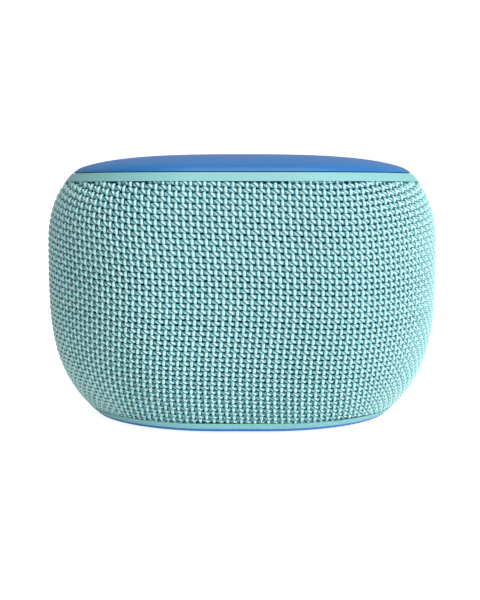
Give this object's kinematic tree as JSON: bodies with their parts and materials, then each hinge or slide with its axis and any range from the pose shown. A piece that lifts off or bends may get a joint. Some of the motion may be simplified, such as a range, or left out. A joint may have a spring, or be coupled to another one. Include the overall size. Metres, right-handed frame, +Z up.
{
  "type": "portable bluetooth speaker",
  "caption": "Compact cloth-covered wireless speaker: pillow-shaped body with a domed top, slim trim rings and a flat foot.",
  "frame": {"origin": "centre of the foot's underside, on the surface the speaker stands on", "axes": "+Z up through the domed top, the front faces -Y, the charging port faces +Y, +X to the viewer's right"},
  "size_m": [0.092, 0.092, 0.063],
  "materials": {
    "woven_cloth": "plain weave of thick twisted yarn",
    "blue_frame": "moulded, fine matte",
    "aqua_trim": "satin soft-touch",
    "blue_shell": "satin soft-touch",
    "foot_rubber": "matte",
    "screw_steel": "zinc plated",
    "clear_pipe": "frosted",
    "cabinet_plastic": "moulded black",
    "foam": "open cell foam",
    "basket_steel": "black coated steel",
    "roll_rubber": "smooth",
    "cone_paper": "coated paper",
    "coil_winding": "enamelled copper",
    "ferrite": "sintered",
    "circuit_board": "solder mask",
    "battery_wrap": "foil pouch",
    "lead_sleeve": "insulated wire",
    "switch_plastic": "moulded",
    "socket_steel": "drawn steel",
    "flap_rubber": "soft matte"
  },
  "bodies": {
    "body": {"fabric_cover": "woven_cloth", "grille_frame": "blue_frame", "upper_trim_ring": "aqua_trim", "lower_trim_ring": "aqua_trim", "base_plate": "blue_shell", "foot_pad": "foot_rubber", "base_screws": "screw_steel", "top_cover": "blue_shell", "status_light_pipe": "clear_pipe", "cabinet_tub": "cabinet_plastic", "cabinet_lid": "cabinet_plastic", "lid_gasket": "foam", "driver_gasket": "foam", "driver_basket": "basket_steel", "driver_surround": "roll_rubber", "driver_top_plate": "basket_steel", "driver_magnet": "ferrite", "driver_yoke": "basket_steel", "driver_screws": "screw_steel", "driver_terminal": "circuit_board", "battery": "battery_wrap", "battery_pad": "foam", "battery_leads": "lead_sleeve", "speaker_leads": "lead_sleeve", "lead_grommet": "roll_rubber", "main_board": "circuit_board", "board_screws": "screw_steel", "tact_switches": "switch_plastic", "board_components": "switch_plastic", "port_board": "circuit_board", "port_screws": "screw_steel", "port_leads": "lead_sleeve", "usb_shell": "socket_steel", "usb_tongue": "switch_plastic", "port_panel": "blue_shell", "left_radiator_frame": "cabinet_plastic", "left_radiator_surround": "roll_rubber", "right_radiator_frame": "cabinet_plastic", "right_radiator_surround": "roll_rubber"},
    "cone": {"driver_cone": "cone_paper", "driver_dust_cap": "cone_paper", "driver_voice_coil": "coil_winding"},
    "flap": {"port_flap": "flap_rubber"},
    "left_radiator": {"left_radiator_plate": "basket_steel", "left_radiator_weight": "screw_steel"},
    "right_radiator": {"right_radiator_plate": "basket_steel", "right_radiator_weight": "screw_steel"},
    "key_play": {"key_play": "blue_shell"},
    "key_volume_down": {"key_volume_down": "blue_shell"},
    "key_volume_up": {"key_volume_up": "blue_shell"},
    "key_power": {"key_power": "blue_shell"},
    "key_pair": {"key_pair": "blue_shell"}
  },
  "joints": [
    {"name": "cone_stroke", "type": "slide", "parent": "body", "child": "cone", "axis": [0, -1, 0], "range_m": [-0.0012, 0.0012], "stiffness_N_per_m": 900},
    {"name": "left_radiator_stroke", "type": "slide", "parent": "body", "child": "left_radiator", "axis": [-1, 0, 0], "range_m": [-0.0015, 0.0015], "stiffness_N_per_m": 700},
    {"name": "right_radiator_stroke", "type": "slide", "parent": "body", "child": "right_radiator", "axis": [1, 0, 0], "range_m": [-0.0015, 0.0015], "stiffness_N_per_m": 700},
    {"name": "play_press", "type": "slide", "parent": "body", "child": "key_play", "axis": [0, 0, -1], "range_m": [0, 0.0004], "stiffness_N_per_m": 600, "springref_m": -0.0002},
    {"name": "volume_down_press", "type": "slide", "parent": "body", "child": "key_volume_down", "axis": [0, 0, -1], "range_m": [0, 0.0004], "stiffness_N_per_m": 600, "springref_m": -0.0002},
    {"name": "volume_up_press", "type": "slide", "parent": "body", "child": "key_volume_up", "axis": [0, 0, -1], "range_m": [0, 0.0004], "stiffness_N_per_m": 600, "springref_m": -0.0002},
    {"name": "power_press", "type": "slide", "parent": "body", "child": "key_power", "axis": [0, 0, -1], "range_m": [0, 0.0004], "stiffness_N_per_m": 600, "springref_m": -0.0002},
    {"name": "pair_press", "type": "slide", "parent": "body", "child": "key_pair", "axis": [0, 0, -1], "range_m": [0, 0.0004], "stiffness_N_per_m": 600, "springref_m": -0.0002},
    {"name": "flap_swing", "type": "hinge", "parent": "body", "child": "flap", "pos_m": [0, 0.0459, 0.031], "axis": [-1, 0, 0], "range_deg": [0, 110]}
  ]
}
